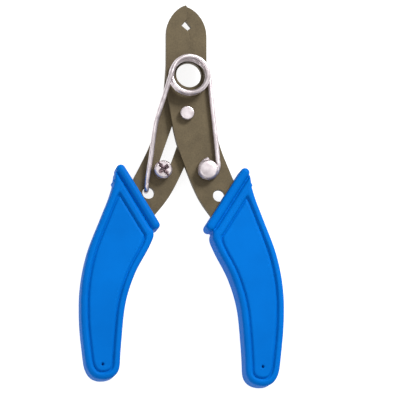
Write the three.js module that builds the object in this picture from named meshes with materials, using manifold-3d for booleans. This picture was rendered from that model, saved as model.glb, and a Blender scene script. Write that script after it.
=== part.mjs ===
// Spring-opened wire stripper and cutter with two dipped handles, lying flat.
// Millimetres, +Z up from the surface it lies on, +Y towards the jaws, X = 0 midway between the handles.
// Every Y below is counted from a line middleY under the middle of the length, which becomes Y = 0.
import * as THREE from 'three';
import { mergeVertices } from 'three/addons/utils/BufferGeometryUtils.js';
import Module from 'manifold-3d';

const wasm = await Module();
wasm.setup();

const middleY = 1.1;

// ---- Levels above the surface
const gripThick = 10;
const plateThick = 2;
const backZ = 2.9;
const plateGap = 0.3;
const frontZ = backZ + plateThick + plateGap;
const backTop = backZ + plateThick;
const frontTop = frontZ + plateThick;
const fit = 0.1;
const pocketGap = 0.3;

// ---- Driving dimensions of the levers, from the pivot, with u towards the lever's own handle
const pivot = new THREE.Vector2(1.4, 28.1);
const legSwing = THREE.MathUtils.degToRad(1.8);
const headHalf = 7.05;
const tip = new THREE.Vector2(-0.35, 37.65);
const edgeTip = new THREE.Vector2(0, 37.2);
const edgeFoot = new THREE.Vector2(1.2, 22);
const notchU = -1.85;
const notchV = 30.5;
const notchSide = 4;
const notchTilt = THREE.MathUtils.degToRad(6);
const portCentre = new THREE.Vector2(2.4, 42.1);
const backPortRadius = 4.3;
const frontPortRadius = 4.8;
const legHole = new THREE.Vector2(11.75, -27.3);
const legHoleRadius = 2;
const slotFoot = new THREE.Vector2(7.3, -19.5);
const slotHead = new THREE.Vector2(2.5, -4);
const slotHalf = 1.95;
const studPlace = new THREE.Vector2(7.5, -19.1);

// ---- Rivets and the stop screw
const rivetRadius = 1.9;
const rivetHeadRadius = 2.33;
const rivetHeadHigh = 1.85;
const rivetTailRadius = 3.2;
const rivetTailHigh = 1.2;
const studRadius = 1.5;
const studHeadRadius = 3.25;
const studHeadHigh = 1.6;
const studTailRadius = 2.3;
const screwRadius = 1.75;
const screwHeadRadius = 3;
const screwHeadHigh = 2.6;
const screwTipZ = 0.5;
const washerThick = 0.6;
const backWasherRadius = 3.6;
const nutAcross = 6;
const nutHigh = 1.6;

// ---- Spring: one wire, in from its end at the stud, up to the coil, round it, and down to the back lever
const wire = 0.82;
const coilCentre = new THREE.Vector2(1.9, 40.7);
const coilRadius = 6.1;
const coilPitch = 1.75;
const coilStart = THREE.MathUtils.degToRad(60);
const coilEnd = THREE.MathUtils.degToRad(2 * 360 + 163.5);
const coilCut = 0.4;
const springZ = frontTop + 0.2 + wire;
const studHeadZ = springZ + wire + 0.1;
const rightRoute = [
  [8.6, 12.7], [6.9, 11.5], [5.8, 9.3], [6.4, 7.1], [8.9, 6.3], [11, 7.7], [11.85, 10.2],
  [11.65, 12.8], [11, 19.9], [10, 29.1], [9.2, 37.2], [8.95, 39.6], [8.5, 42], [7.2, 44.4],
];
const leftRoute = [
  [-4.65, 40.2, 12.3], [-5.5, 37.3, 12], [-8.5, 27.3, 10.7], [-8.95, 25.5, 9.5], [-9.3, 23.7, 8.7],
  [-10.7, 12.4, 7.1], [-11.85, 4.5, 5.95], [-11.9, 3.1, 5.85], [-11.88, 2.15, 5.2], [-11.85, 1.9, 4.2],
  [-11.85, 1.9, 3.1],
];

// ---- Handles, drawn for the right side and mirrored for the left
const mouthPoint = new THREE.Vector2(15.3, 1.8);
const mouthLean = THREE.MathUtils.degToRad(32);
const beadStart = -8.5;
const beadEnd = 13.4;
const beadRadius = 1.55;
const beadSet = 1.3;
const bodySet = 3.3;
const neckSink = 1.5;
const gripRound = 1.2;
const rightGripEnd = -63.3;
const leftGripEnd = -61.9;
const pinhole = new THREE.Vector2(26.5, -56.9);
const pinholeRadius = 0.5;
const pinholeDeep = 1.8;

const steel = { color: 0x736852, roughness: 0.55, metalness: 0.7 };
const zinc = { color: 0xd8d3d2, roughness: 0.3, metalness: 0.9 };
const vinyl = { color: 0x0478e0, roughness: 0.5, metalness: 0 };

// ---- Helpers
function solid(geometry) {
  const bare = geometry.clone();
  bare.deleteAttribute('normal');
  bare.deleteAttribute('uv');
  const merged = mergeVertices(bare, 1e-4);
  const index = merged.index.array;
  return new wasm.Manifold(new wasm.Mesh({
    numProp: 3,
    vertProperties: new Float32Array(merged.attributes.position.array),
    triVerts: new Uint32Array(index),
  }));
}

function surface(manifold) {
  const mesh = manifold.getMesh();
  const geometry = new THREE.BufferGeometry();
  geometry.setAttribute('position', new THREE.BufferAttribute(mesh.vertProperties, 3));
  geometry.setIndex(new THREE.BufferAttribute(mesh.triVerts, 1));
  return geometry;
}

function piece(name, manifold, look, place = new THREE.Vector2()) {
  const mesh = new THREE.Mesh(surface(manifold), new THREE.MeshStandardMaterial(look));
  mesh.name = name;
  mesh.position.set(place.x, place.y - middleY, 0);
  return mesh;
}

// The points of an outline, each once.
function outlineOf(shape, divisions) {
  const points = shape.getPoints(divisions);
  return points.filter((p, i) => p.distanceTo(points[(i + 1) % points.length]) > 1e-3);
}

// A flat plate; grow widens its outline and thickens it on both faces.
function plate(points, low, high, grow = 0) {
  const geometry = new THREE.ExtrudeGeometry(new THREE.Shape(points), {
    depth: high - low,
    bevelEnabled: grow > 0,
    bevelThickness: grow,
    bevelSize: grow,
    bevelSegments: 1,
  });
  return solid(geometry.translate(0, 0, low));
}

function disc(centre, radius, low, high, sides = 48) {
  const circle = new THREE.Shape().absarc(centre.x, centre.y, radius, 0, 2 * Math.PI);
  return plate(outlineOf(circle, sides / 2), low, high);
}

// A turned piece: profile points are [radius, height], from the axis round to the axis.
function turned(profile, sides = 48) {
  const points = profile.map(([radius, height]) => new THREE.Vector2(radius, height));
  return solid(new THREE.LatheGeometry(points, sides).rotateX(Math.PI / 2));
}

function moved(manifold, place) {
  return manifold.translate([place.x, place.y, 0]);
}

function stadium(from, to, half) {
  const along = to.clone().sub(from).angle();
  const shape = new THREE.Shape();
  shape.absarc(to.x, to.y, half, along - Math.PI / 2, along + Math.PI / 2);
  shape.absarc(from.x, from.y, half, along + Math.PI / 2, along + 1.5 * Math.PI);
  return outlineOf(shape, 8);
}

function mirrored(points) {
  return points.map((p) => new THREE.Vector2(-p.x, p.y)).reverse();
}

// ---- Levers: side is 1 for the front lever, with its handle on the right, and -1 for the back one
const swung = (point, side) => point.clone().rotateAround(new THREE.Vector2(), -side * legSwing);
const placed = (point, side) => new THREE.Vector2(pivot.x + side * point.x, pivot.y + point.y);

function leverOutline(side) {
  const leg = (u, v) => swung(new THREE.Vector2(u, v), side);
  const tang = (x, y) => new THREE.Vector2(x - side * pivot.x, y - pivot.y);
  const shape = new THREE.Shape();
  shape.moveTo(tip.x, tip.y);
  shape.bezierCurveTo(-3.2, 36.9, -headHalf, 33, -headHalf, 27.5);
  shape.lineTo(-headHalf, 13.4);
  shape.splineThru([
    new THREE.Vector2(-6.1, 3.8), leg(-3.5, -8.7), leg(0, -18), leg(5.1, -28.8),
    tang(12.4, -10.5), tang(19.6, -22), tang(22.9, -36), tang(23.4, -52),
  ]);
  shape.absarc(26.6 - side * pivot.x, -52 - pivot.y, 3.2, Math.PI, 2 * Math.PI);
  shape.splineThru([
    tang(30.4, -36), tang(27.6, -20), tang(22.2, -6), leg(14.7, -17.9), leg(11.2, -9.2),
    new THREE.Vector2(8.9, 0.5), new THREE.Vector2(7.4, 8.6), new THREE.Vector2(6.75, 17),
  ]);
  shape.quadraticCurveTo(6.6, 19.6, 4.4, 19.8);
  shape.quadraticCurveTo(1.4, 20, edgeFoot.x, edgeFoot.y);
  shape.lineTo(edgeTip.x, edgeTip.y);
  return outlineOf(shape, 9);
}

function notch(side) {
  const corner = new THREE.Shape([
    new THREE.Vector2(0, 0),
    new THREE.Vector2(notchSide, -notchSide),
    new THREE.Vector2(2 * notchSide, 0),
    new THREE.Vector2(notchSide, notchSide),
  ].map((p) => p.multiplyScalar(Math.SQRT1_2).rotateAround(new THREE.Vector2(), notchTilt)
    .add(new THREE.Vector2(notchU, notchV))));
  return side > 0 ? corner.getPoints() : mirrored(corner.getPoints());
}

function lever(side, low, portRadius) {
  const high = low + plateThick;
  const through = [low - 1, high + 1];
  const outline = leverOutline(side);
  const port = portCentre.clone().sub(pivot);
  const hole = swung(legHole, side);
  hole.x *= side;
  return plate(side > 0 ? outline : mirrored(outline), low, high)
    .subtract(disc(new THREE.Vector2(), rivetRadius + fit, ...through))
    .subtract(disc(port, portRadius, ...through, 72))
    .subtract(disc(hole, legHoleRadius, ...through))
    .subtract(plate(notch(side), ...through));
}

function frontLever() {
  const stud = turned([
    [0, frontZ - 1], [studTailRadius + 2 * fit, frontZ - 1], [studTailRadius + 2 * fit, frontZ],
    [studRadius + fit, frontZ + 1.1], [studRadius + fit, frontTop + 1], [0, frontTop + 1],
  ]);
  return lever(1, frontZ, frontPortRadius).subtract(moved(stud, swung(studPlace, 1)));
}

function backLever() {
  const ends = [slotFoot, slotHead].map((end) => swung(end, -1));
  const slot = plate(mirrored(stadium(ends[0], ends[1], slotHalf)), backZ - 1, backTop + 1);
  return lever(-1, backZ, backPortRadius).subtract(slot);
}

// ---- Rivets
function pivotRivet() {
  const foot = backZ - 0.15;
  const seat = frontTop + 0.15;
  const crown = seat + rivetHeadHigh;
  return turned([
    [0, foot - rivetTailHigh], [rivetTailRadius - 0.9, foot - rivetTailHigh],
    [rivetTailRadius, foot - 0.4], [rivetTailRadius, foot], [rivetRadius, foot], [rivetRadius, seat],
    [rivetHeadRadius, seat], [rivetHeadRadius, crown - 0.25], [rivetHeadRadius - 0.25, crown], [0, crown],
  ]);
}

function springStud() {
  const crown = studHeadZ + studHeadHigh;
  return turned([
    [0, frontZ], [studTailRadius, frontZ], [studRadius, frontZ + 1], [studRadius, studHeadZ],
    [studHeadRadius, studHeadZ], [studHeadRadius, crown - 0.7], [studHeadRadius - 0.5, crown - 0.2],
    [0.5 * studHeadRadius, crown - 0.05], [0, crown],
  ]);
}

// ---- Stop screw, its washers and nut
function adjustingScrew() {
  const seat = backTop + 2 * fit + washerThick;
  const crown = seat + screwHeadHigh;
  const body = turned([
    [0, screwTipZ], [screwRadius - 0.3, screwTipZ], [screwRadius, screwTipZ + 0.3], [screwRadius, seat],
    [screwHeadRadius, seat], [screwHeadRadius, crown - 0.6], [screwHeadRadius - 0.5, crown - 0.1],
    [0, crown],
  ]);
  const slotAngle = THREE.MathUtils.degToRad(-52);
  return body
    .subtract(recess(2.2 * screwHeadRadius, 0.45, 1.7, crown, slotAngle))
    .subtract(recess(1.3 * screwHeadRadius, 0.75, 2.4, crown, slotAngle))
    .subtract(recess(1.3 * screwHeadRadius, 0.75, 2.4, crown, slotAngle + Math.PI / 2));
}

// A groove in a screw's crown that narrows to a sharp bottom.
function recess(length, half, deep, crown, angle) {
  const section = new THREE.Shape([
    new THREE.Vector2(0, -deep), new THREE.Vector2(half, 0),
    new THREE.Vector2(half, 1), new THREE.Vector2(-half, 1), new THREE.Vector2(-half, 0),
  ]);
  const geometry = new THREE.ExtrudeGeometry(section, { depth: length, bevelEnabled: false });
  geometry.translate(0, 0, -length / 2).rotateX(Math.PI / 2).rotateZ(angle + Math.PI / 2);
  return solid(geometry.translate(0, 0, crown));
}

function ring(outer, low) {
  return disc(new THREE.Vector2(), outer, low, low + washerThick)
    .subtract(disc(new THREE.Vector2(), screwRadius + 0.15, low - 1, low + washerThick + 1));
}

function clampNut(high) {
  const corner = nutAcross / Math.sqrt(3);
  const hex = outlineOf(new THREE.Shape().absarc(0, 0, corner, 0, 2 * Math.PI), 3);
  return plate(hex, high - nutHigh, high)
    .subtract(disc(new THREE.Vector2(), screwRadius + 0.15, high - nutHigh - 1, high + 1));
}

// ---- Spring, wound from one round wire
function wound(points, steps) {
  const section = new THREE.Shape().absarc(0, 0, wire, 0, 2 * Math.PI);
  const path = new THREE.CatmullRomCurve3(points, false, 'centripetal');
  return solid(new THREE.ExtrudeGeometry(section, {
    steps, curveSegments: 4, bevelEnabled: false, extrudePath: path,
  }));
}

const onCoil = (angle) => new THREE.Vector3(
  coilCentre.x + coilRadius * Math.cos(angle),
  coilCentre.y + coilRadius * Math.sin(angle),
  springZ + coilPitch * (angle - coilStart) / (2 * Math.PI),
);

function springCoil() {
  const points = rightRoute.map(([x, y]) => new THREE.Vector3(x, y, springZ));
  const last = coilEnd - coilCut / coilRadius;
  const count = 42;
  for (let i = 0; i <= count; i += 1) {
    points.push(onCoil(coilStart + (last - coilStart) * i / count));
  }
  return wound(points, 110);
}

function springArm() {
  return wound([onCoil(coilEnd), ...leftRoute.map((point) => new THREE.Vector3(...point))], 44);
}

// ---- Handles
const mouthDown = new THREE.Vector2(-Math.sin(mouthLean), -Math.cos(mouthLean));
const mouthIn = new THREE.Vector2(Math.cos(mouthLean), -Math.sin(mouthLean));
const atMouth = (along, inward) => mouthPoint.clone()
  .addScaledVector(mouthDown, along).addScaledVector(mouthIn, inward);

function gripOutline(endY) {
  const shape = new THREE.Shape();
  const corner = atMouth(-8.6, bodySet);
  const inner = atMouth(13.2, bodySet);
  shape.moveTo(corner.x, corner.y);
  shape.lineTo(inner.x, inner.y);
  shape.quadraticCurveTo(9.2, -12.4, 10.1, -15);
  shape.splineThru([
    new THREE.Vector2(11.9, -18.9), new THREE.Vector2(16.1, -27), new THREE.Vector2(19.1, -37),
    new THREE.Vector2(20.4, -50), new THREE.Vector2(20.8, endY + 5),
  ]);
  shape.bezierCurveTo(21, endY + 1.6, 23.4, endY, 26.6, endY);
  shape.bezierCurveTo(30, endY, 31.9, endY + 2.4, 32.4, endY + 7);
  shape.splineThru([
    new THREE.Vector2(33.7, -43), new THREE.Vector2(33.6, -31), new THREE.Vector2(31.4, -19.3),
    new THREE.Vector2(26.9, -7.2), new THREE.Vector2(24.5, -1), new THREE.Vector2(23.2, 3.3),
  ]);
  return outlineOf(shape, 8);
}

// An outline extruded to the handle's thickness with its edges rounded inward.
function rounded(points, low, high, radius) {
  const geometry = new THREE.ExtrudeGeometry(new THREE.Shape(points), {
    depth: high - low - 2 * radius,
    bevelThickness: radius,
    bevelSize: radius,
    bevelOffset: -radius,
    bevelSegments: 2,
  });
  return solid(geometry.translate(0, 0, low + radius));
}

function grip(side, endY, leverLow) {
  const facing = (points) => (side > 0 ? points : mirrored(points));
  const body = rounded(facing(gripOutline(endY)), 0, gripThick, gripRound);
  const bead = rounded(
    facing(stadium(atMouth(beadEnd, beadSet), atMouth(beadStart, beadSet), beadRadius)),
    0, gripThick, 0.85 * beadRadius);
  const neckPoints = [
    atMouth(-7.8, beadSet), atMouth(12.8, beadSet),
    atMouth(11.6, bodySet + 2.5), atMouth(-6.4, bodySet + 2.5),
  ];
  const neck = plate(facing(neckPoints), neckSink, gripThick - neckSink);
  const outline = leverOutline(side);
  const pocket = moved(
    plate(side > 0 ? outline : mirrored(outline), leverLow, leverLow + plateThick, pocketGap), pivot);
  const pinAt = new THREE.Vector2(side * pinhole.x, pinhole.y);
  const pin = disc(pinAt, pinholeRadius, gripThick - pinholeDeep, gripThick + 1, 16);
  return body.add(bead).add(neck).subtract(pocket).subtract(pin);
}

// ---- Assembly
const studAt = placed(swung(studPlace, 1), 1);
const screwAt = placed(swung(slotFoot, -1), -1);

const stripper = new THREE.Group();
stripper.add(
  piece('front_lever', frontLever(), steel, pivot),
  piece('back_lever', backLever(), steel, pivot),
  piece('pivot_rivet', pivotRivet(), zinc, pivot),
  piece('spring_stud', springStud(), zinc, studAt),
  piece('spring_coil', springCoil(), zinc),
  piece('spring_arm', springArm(), zinc),
  piece('adjusting_screw', adjustingScrew(), zinc, screwAt),
  piece('front_washer', ring(screwHeadRadius, backTop + fit), zinc, screwAt),
  piece('back_washer', ring(backWasherRadius, backZ - fit - washerThick), zinc, screwAt),
  piece('clamp_nut', clampNut(backZ - 2 * fit - washerThick), zinc, screwAt),
  piece('right_grip', grip(1, rightGripEnd, frontZ), vinyl),
  piece('left_grip', grip(-1, leftGripEnd, backZ), vinyl),
);

export default stripper;
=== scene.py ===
"""Adjustable wire stripper and cutter on a pale floor. Metres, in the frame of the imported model."""
import math

import bmesh
import bpy
import numpy as np
from mathutils import Matrix, Vector


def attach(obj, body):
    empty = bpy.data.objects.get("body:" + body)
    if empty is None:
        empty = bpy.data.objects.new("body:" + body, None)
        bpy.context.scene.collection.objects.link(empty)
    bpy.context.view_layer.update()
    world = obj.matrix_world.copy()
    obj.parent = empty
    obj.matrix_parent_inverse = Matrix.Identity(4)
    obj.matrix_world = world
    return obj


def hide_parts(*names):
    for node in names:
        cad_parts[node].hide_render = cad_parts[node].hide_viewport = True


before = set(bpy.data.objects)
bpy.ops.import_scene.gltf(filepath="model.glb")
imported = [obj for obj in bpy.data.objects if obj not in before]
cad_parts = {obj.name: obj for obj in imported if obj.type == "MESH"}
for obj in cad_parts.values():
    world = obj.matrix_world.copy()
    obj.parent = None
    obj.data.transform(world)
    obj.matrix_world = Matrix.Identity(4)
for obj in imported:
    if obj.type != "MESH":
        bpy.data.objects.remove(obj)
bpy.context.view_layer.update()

MM = 0.001

# Camera, floor and light
TARGET = Vector((6.2, -1.9, 5.0)) * MM
CAMERA_DISTANCE = 750 * MM
CAMERA_LEAN = (math.radians(-8.5), math.radians(-10.5))
LENS = 201.7
FLOOR_SIZE = 3.0
FLOOR_GLOW = 0.85
FLOOR_GREYS = (0.36, 0.38)
SKY_LOW = (0.45, 0.43, 0.45)
SKY_STRENGTH = 0.7
KEY_PLACE = (0.45, 0.6, 0.6)
KEY_SIZE = 0.3
KEY_POWER = 10
FILL_PLACE = (-0.6, -0.3, 0.8)
FILL_SIZE = 0.8
FILL_POWER = 2.5

# Vertices closer than this, in metres, count as one
WELD = 2e-6

# Handles, in millimetres. BODY_START is a point on the line where a body begins behind its rim.
# The relief grows from FACE_START to FACE_FULL above and below the handle's middle.
GRIP_VOXEL = 0.27
SECTION_HEIGHT = 1.3
BODY_START = np.array([18.1, -1.05])
MOUTH_LEAN = math.radians(32)
GROOVE_INSET = 2.4
GROOVE_HALF = 0.5
GROOVE_DEEP = 1.05
PANEL_SINK = 0.25
PANEL_STEP = 0.6
CORNER_EASE = 0.9
FACE_START = 3.6
FACE_FULL = 4.4

# Spring wire, in millimetres, with its routes from the stud to the coil and from there to the hole.
# Before the coil's end, the arm starts by the angle JOIN_ARC and the coil stops by COIL_CUT.
# ARM_SLACK makes the arm a little thinner, so that the two don't share a surface where they join.
WIRE = 0.82
COIL_CENTRE = np.array([1.9, 39.6])
COIL_RADIUS = 6.1
COIL_PITCH = 1.75
COIL_START = math.radians(60)
COIL_END = math.radians(2 * 360 + 163.5)
SPRING_Z = 8.22
JOIN_ARC = 0.25
COIL_CUT = 0.05
COIL_KNOTS = 43
ARM_SLACK = 0.02
RIGHT_ROUTE = [
    (8.6, 11.6), (6.9, 10.4), (5.8, 8.2), (6.4, 6.0), (8.9, 5.2), (11.0, 6.6), (11.85, 9.1),
    (11.65, 11.7), (11.0, 18.8), (10.0, 28.0), (9.2, 36.1), (8.95, 38.5), (8.5, 40.9), (7.2, 43.3),
]
LEFT_ROUTE = [
    (-4.65, 39.1, 12.3), (-5.5, 36.2, 12.0), (-8.5, 26.2, 10.7), (-8.95, 24.4, 9.5),
    (-9.3, 22.6, 8.7), (-10.7, 11.3, 7.1), (-11.85, 3.4, 5.95), (-11.9, 2.0, 5.85),
    (-11.88, 1.05, 5.2), (-11.85, 0.8, 4.2), (-11.85, 0.8, 3.1),
]


# ---- Materials
def new_material(name):
    """A material with its shader, and a function that adds a linked node."""
    material = bpy.data.materials.new(name + "_finish")
    material["slot"] = name
    material.use_nodes = True
    nodes = material.node_tree.nodes
    shader = nodes["Principled BSDF"]

    def add(kind, links=None, **values):
        node = nodes.new(kind)
        for key, value in values.items():
            if hasattr(node, key):
                setattr(node, key, value)
            else:
                node.inputs[key.replace("_", " ")].default_value = value
        for socket, source in (links or {}).items():
            material.node_tree.links.new(source, node.inputs[socket])
        return node

    def feed(socket, source):
        material.node_tree.links.new(source, shader.inputs[socket])

    return material, shader, add, feed


def ramp_between(add, source, low, high, start=0.35, end=0.65):
    """A colour ramp over a noise, from one colour to another."""
    node = add("ShaderNodeValToRGB", {"Fac": source})
    node.color_ramp.elements[0].position = start
    node.color_ramp.elements[0].color = (*low, 1)
    node.color_ramp.elements[1].position = end
    node.color_ramp.elements[1].color = (*high, 1)
    return node.outputs["Color"]


def grey_between(add, source, low, high):
    """A value that follows a noise, from low to high."""
    node = add("ShaderNodeMapRange", {"Value": source}, To_Min=low, To_Max=high)
    return node.outputs["Result"]


def bump_from(add, height, strength, distance):
    """A normal that follows a height, distance in metres."""
    node = add("ShaderNodeBump", {"Height": height}, Strength=strength, Distance=distance)
    return node.outputs["Normal"]


def dark_steel():
    """Oxidised flat steel: mottled olive brown with a fine grain and a faint brushed bump."""
    material, shader, add, feed = new_material("dark_steel")
    shader.inputs["Metallic"].default_value = 0.55
    place = add("ShaderNodeTexCoord").outputs["Object"]
    mottle = add("ShaderNodeTexNoise", {"Vector": place}, Scale=160, Detail=6, Roughness=0.6)
    grain = add("ShaderNodeTexNoise", {"Vector": place}, Scale=1800, Detail=3, Roughness=0.6)
    stretched = add("ShaderNodeMapping", {"Vector": place}, Scale=(2600, 260, 260))
    brushed = add("ShaderNodeTexNoise", {"Vector": stretched.outputs["Vector"]}, Scale=1, Detail=4)
    tone = ramp_between(add, mottle.outputs["Fac"], (0.094, 0.071, 0.038), (0.128, 0.098, 0.053))
    fine = ramp_between(add, grain.outputs["Fac"], (0.72, 0.72, 0.72), (1.0, 1.0, 1.0))
    mixed = add("ShaderNodeMix", data_type="RGBA", blend_type="MULTIPLY")
    mixed.inputs["Factor"].default_value = 0.7
    material.node_tree.links.new(tone, mixed.inputs["A"])
    material.node_tree.links.new(fine, mixed.inputs["B"])
    feed("Base Color", mixed.outputs["Result"])
    feed("Roughness", grey_between(add, mottle.outputs["Fac"], 0.42, 0.66))
    feed("Normal", bump_from(add, brushed.outputs["Fac"], 0.25, 0.00006))
    return material


def zinc_plate():
    """Bright plated steel with a slightly uneven polish and faint scratches."""
    material, shader, add, feed = new_material("zinc_plate")
    shader.inputs["Metallic"].default_value = 1.0
    place = add("ShaderNodeTexCoord").outputs["Object"]
    cloud = add("ShaderNodeTexNoise", {"Vector": place}, Scale=420, Detail=4)
    scratch = add("ShaderNodeTexNoise", {"Vector": place}, Scale=700, Detail=2)
    tone = ramp_between(add, cloud.outputs["Fac"], (0.62, 0.55, 0.57), (0.80, 0.73, 0.75))
    feed("Base Color", tone)
    feed("Roughness", grey_between(add, cloud.outputs["Fac"], 0.30, 0.44))
    feed("Normal", bump_from(add, scratch.outputs["Fac"], 0.04, 0.00004))
    return material


def blue_vinyl():
    """Soft dipped vinyl: saturated blue, satin, with a faint orange-peel surface."""
    material, shader, add, feed = new_material("blue_vinyl")
    shader.inputs["IOR"].default_value = 1.46
    shader.inputs["Specular IOR Level"].default_value = 0.03
    place = add("ShaderNodeTexCoord").outputs["Object"]
    cloud = add("ShaderNodeTexNoise", {"Vector": place}, Scale=60, Detail=3)
    peel = add("ShaderNodeTexNoise", {"Vector": place}, Scale=900, Detail=3)
    tone = ramp_between(add, cloud.outputs["Fac"], (0.0, 0.120, 0.47), (0.0, 0.138, 0.53))
    feed("Base Color", tone)
    feed("Roughness", grey_between(add, cloud.outputs["Fac"], 0.42, 0.56))
    feed("Normal", bump_from(add, peel.outputs["Fac"], 0.2, 0.0001))
    return material


# ---- Pieces
def piece(mesh, name, body, material, *nodes):
    """A mesh or curve as a named piece that rides on a body and stands for CAD nodes."""
    made = bpy.data.objects.new(name, mesh)
    bpy.context.scene.collection.objects.link(made)
    made.data.materials.clear()
    made.data.materials.append(material)
    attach(made, body)
    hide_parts(*nodes)
    return made


def applied(made):
    """The object's mesh with its modifiers applied."""
    graph = bpy.context.evaluated_depsgraph_get()
    mesh = bpy.data.meshes.new_from_object(made.evaluated_get(graph))
    made.modifiers.clear()
    made.data = mesh
    return mesh


def clean_copy(node):
    """A CAD node's mesh as a welded bmesh."""
    shape = bmesh.new()
    shape.from_mesh(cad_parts[node].data)
    bmesh.ops.remove_doubles(shape, verts=shape.verts, dist=WELD)
    return shape


def eased(node, name, body, material, width):
    """A metal piece with its CAD shape, its edges eased by a small rounding of this width."""
    shape = clean_copy(node)
    bmesh.ops.dissolve_limit(
        shape, angle_limit=math.radians(1), verts=shape.verts, edges=shape.edges)
    mesh = bpy.data.meshes.new(name)
    shape.to_mesh(mesh)
    shape.free()
    mesh.shade_smooth()
    made = piece(mesh, name, body, material, node)
    rounding = made.modifiers.new("edges", "BEVEL")
    rounding.width = width * MM
    rounding.segments = 3
    rounding.limit_method = "ANGLE"
    rounding.angle_limit = math.radians(35)
    weighting = made.modifiers.new("flats", "WEIGHTED_NORMAL")
    weighting.weight = 100
    mesh = applied(made)
    mesh.materials.clear()
    mesh.materials.append(material)
    return made


# ---- Handles
def outline_segments(node):
    """The handle's outer outline as 2D segments in millimetres, cut near its back."""
    shape = clean_copy(node)
    cut = bmesh.ops.bisect_plane(
        shape,
        geom=shape.verts[:] + shape.edges[:] + shape.faces[:],
        plane_co=(0, 0, SECTION_HEIGHT * MM),
        plane_no=(0, 0, 1),
    )
    edges = [e for e in cut["geom_cut"] if isinstance(e, bmesh.types.BMEdge)]
    ends = np.array([[v.co[:2] for v in e.verts] for e in edges]) / MM
    shape.free()
    return ends[:, 0], ends[:, 1]


def distance_inside(points, starts, ends):
    """Distance of each 2D point from the nearest of the segments."""
    nearest = np.full(len(points), np.inf)
    for start, end in zip(starts, ends):
        along = end - start
        length = along @ along
        if length == 0:
            continue
        share = np.clip((points - start) @ along / length, 0, 1)
        gap = np.linalg.norm(points - start - share[:, None] * along, axis=1)
        nearest = np.minimum(nearest, gap)
    return nearest


def smooth_step(value, low, high):
    """0 below low and 1 above high, with a smooth rise between."""
    share = np.clip((value - low) / (high - low), 0, 1)
    return share * share * (3 - 2 * share)


def soft_minimum(first, second, ease):
    """The smaller of two distances, with the corner between them rounded."""
    return -ease * np.logaddexp(-first / ease, -second / ease)


def relief(depth_inside):
    """How far a face sinks at a distance inside the outline: a groove round a lower panel."""
    groove = GROOVE_DEEP * np.exp(-((depth_inside - GROOVE_INSET) / GROOVE_HALF) ** 2 * 2)
    return groove + PANEL_SINK * smooth_step(depth_inside, GROOVE_INSET, GROOVE_INSET + PANEL_STEP)


def handle(node, body, side, material):
    """A dipped sleeve: the CAD solid remeshed and softened, with groove and panel pressed in."""
    shape = clean_copy(node)
    mesh = bpy.data.meshes.new(node + "_sleeve")
    shape.to_mesh(mesh)
    shape.free()
    made = piece(mesh, node + "_sleeve", body, material, node)
    remesh = made.modifiers.new("fine", "REMESH")
    remesh.mode = "VOXEL"
    remesh.voxel_size = GRIP_VOXEL * MM
    soften = made.modifiers.new("soften", "SMOOTH")
    soften.factor = 0.5
    soften.iterations = 4
    mesh = applied(made)
    mesh.materials.clear()
    mesh.materials.append(material)

    place = np.empty(len(mesh.vertices) * 3)
    mesh.vertices.foreach_get("co", place)
    place = place.reshape(-1, 3) / MM
    middle = (place[:, 2].min() + place[:, 2].max()) / 2
    inward = np.array([side * math.cos(MOUTH_LEAN), -math.sin(MOUTH_LEAN)])
    behind_mouth = (place[:, :2] - BODY_START * (side, 1)) @ inward
    edge_distance = distance_inside(place[:, :2], *outline_segments(node))
    inside = soft_minimum(edge_distance, behind_mouth, CORNER_EASE)
    face = smooth_step(np.abs(place[:, 2] - middle), FACE_START, FACE_FULL)
    place[:, 2] -= np.sign(place[:, 2] - middle) * face * relief(inside)
    mesh.vertices.foreach_set("co", (place * MM).ravel())
    mesh.shade_smooth()
    return made


# ---- Spring
def coil_point(angle):
    """A point on the coil, which climbs as the angle grows."""
    return (
        COIL_CENTRE[0] + COIL_RADIUS * math.cos(angle),
        COIL_CENTRE[1] + COIL_RADIUS * math.sin(angle),
        SPRING_Z + COIL_PITCH * (angle - COIL_START) / (2 * math.pi),
    )


def wire_piece(points, name, body, material, node, radius=WIRE):
    """A round wire through these points, in millimetres."""
    curve = bpy.data.curves.new(name, "CURVE")
    curve.dimensions = "3D"
    curve.bevel_depth = radius * MM
    curve.bevel_resolution = 5
    curve.resolution_u = 10
    curve.use_fill_caps = True
    spline = curve.splines.new("BEZIER")
    spline.bezier_points.add(len(points) - 1)
    for knot, point in zip(spline.bezier_points, points):
        knot.co = Vector(point) * MM
        knot.handle_left_type = knot.handle_right_type = "AUTO"
    return piece(curve, name, body, material, node)


def spring_coil(material):
    """The loop round the stud, the right arm and the coil's turns."""
    points = [(x, y, SPRING_Z) for x, y in RIGHT_ROUTE]
    points += [coil_point(a) for a in np.linspace(COIL_START, COIL_END - COIL_CUT, COIL_KNOTS)]
    return wire_piece(points, "spring_coil_wire", "coil", material, "spring_coil")


def spring_arm(material):
    """The left arm, from inside the coil's last turn to its hook in the back lever's hole."""
    points = [coil_point(COIL_END - JOIN_ARC * share) for share in (1, 0.5, 0)] + LEFT_ROUTE
    return wire_piece(points, "spring_arm_wire", "arm", material, "spring_arm", WIRE - ARM_SLACK)


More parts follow.
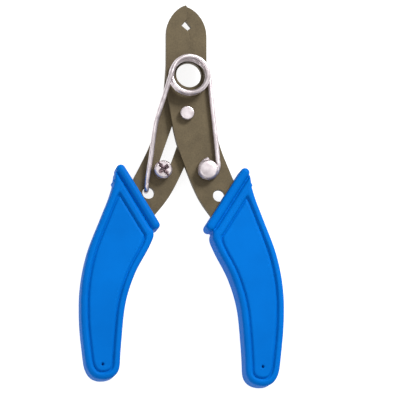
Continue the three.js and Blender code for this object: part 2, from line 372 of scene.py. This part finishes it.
# ---- Setting
def floor():
    """A pale floor that glows a little, so that shadows stay faint."""
    half = FLOOR_SIZE / 2
    mesh = bpy.data.meshes.new("floor")
    corners = [(-half, -half, 0), (half, -half, 0), (half, half, 0), (-half, half, 0)]
    mesh.from_pydata(corners, [], [(0, 1, 2, 3)])
    made = bpy.data.objects.new("floor", mesh)
    bpy.context.scene.collection.objects.link(made)
    material, shader, add, feed = new_material("floor")
    place = add("ShaderNodeTexCoord").outputs["Object"]
    cloud = add("ShaderNodeTexNoise", {"Vector": place}, Scale=3, Detail=2)
    low_grey, high_grey = [(grey, grey, grey) for grey in FLOOR_GREYS]
    feed("Base Color", ramp_between(add, cloud.outputs["Fac"], low_grey, high_grey))
    shader.inputs["Roughness"].default_value = 0.9
    shader.inputs["Emission Color"].default_value = (1, 1, 1, 1)
    shader.inputs["Emission Strength"].default_value = FLOOR_GLOW
    mesh.materials.append(material)


def area_light(name, place, size, power):
    """A square light that faces the tool."""
    light = bpy.data.lights.new(name, "AREA")
    light.size = size
    light.energy = power
    made = bpy.data.objects.new(name, light)
    made.location = place
    made.rotation_euler = (-Vector(place)).to_track_quat("-Z", "Y").to_euler()
    bpy.context.scene.collection.objects.link(made)


def studio():
    """A pale sky that darkens towards the horizon, and two soft lights."""
    scene = bpy.context.scene
    scene.world = scene.world or bpy.data.worlds.new("studio")
    scene.world.use_nodes = True
    tree = scene.world.node_tree
    place = tree.nodes.new("ShaderNodeTexCoord")
    height = tree.nodes.new("ShaderNodeSeparateXYZ")
    shade = tree.nodes.new("ShaderNodeValToRGB")
    shade.color_ramp.elements[0].position = 0.15
    shade.color_ramp.elements[0].color = (*SKY_LOW, 1)
    shade.color_ramp.elements[1].position = 0.8
    shade.color_ramp.elements[1].color = (1, 1, 1, 1)
    tree.links.new(place.outputs["Generated"], height.inputs["Vector"])
    tree.links.new(height.outputs["Z"], shade.inputs["Fac"])
    tree.links.new(shade.outputs["Color"], tree.nodes["Background"].inputs["Color"])
    tree.nodes["Background"].inputs["Strength"].default_value = SKY_STRENGTH
    scene.view_settings.view_transform = "Standard"
    area_light("key", KEY_PLACE, KEY_SIZE, KEY_POWER)
    area_light("fill", FILL_PLACE, FILL_SIZE, FILL_POWER)


def camera():
    """A long lens that looks down at the tool, leaning a little from straight above."""
    lens = bpy.data.cameras.new("camera")
    lens.lens = LENS
    lens.clip_start = 0.01
    made = bpy.data.objects.new("camera", lens)
    lean_x, lean_y = CAMERA_LEAN
    back = Vector((math.tan(lean_x), math.tan(lean_y), 1)).normalized()
    made.location = TARGET + back * CAMERA_DISTANCE
    right = Vector((0, 1, 0)).cross(back).normalized()
    up = back.cross(right)
    made.rotation_euler = Matrix((right, up, back)).transposed().to_euler()
    bpy.context.scene.collection.objects.link(made)
    bpy.context.scene.camera = made


steel = dark_steel()
zinc = zinc_plate()
vinyl = blue_vinyl()

camera()
studio()
floor()
eased("front_lever", "front_blade", "front_assembly", steel, 0.14)
eased("back_lever", "back_blade", "back_assembly", steel, 0.14)
eased("pivot_rivet", "rivet", "front_assembly", zinc, 0.15)
eased("spring_stud", "stud", "front_assembly", zinc, 0.15)
eased("adjusting_screw", "stop_screw", "screw", zinc, 0.08)
eased("front_washer", "washer_front", "stop", zinc, 0.1)
eased("back_washer", "washer_back", "stop", zinc, 0.1)
eased("clamp_nut", "nut", "stop", zinc, 0.15)
spring_coil(zinc)
spring_arm(zinc)
handle("right_grip", "front_assembly", 1, vinyl)
handle("left_grip", "back_assembly", -1, vinyl)
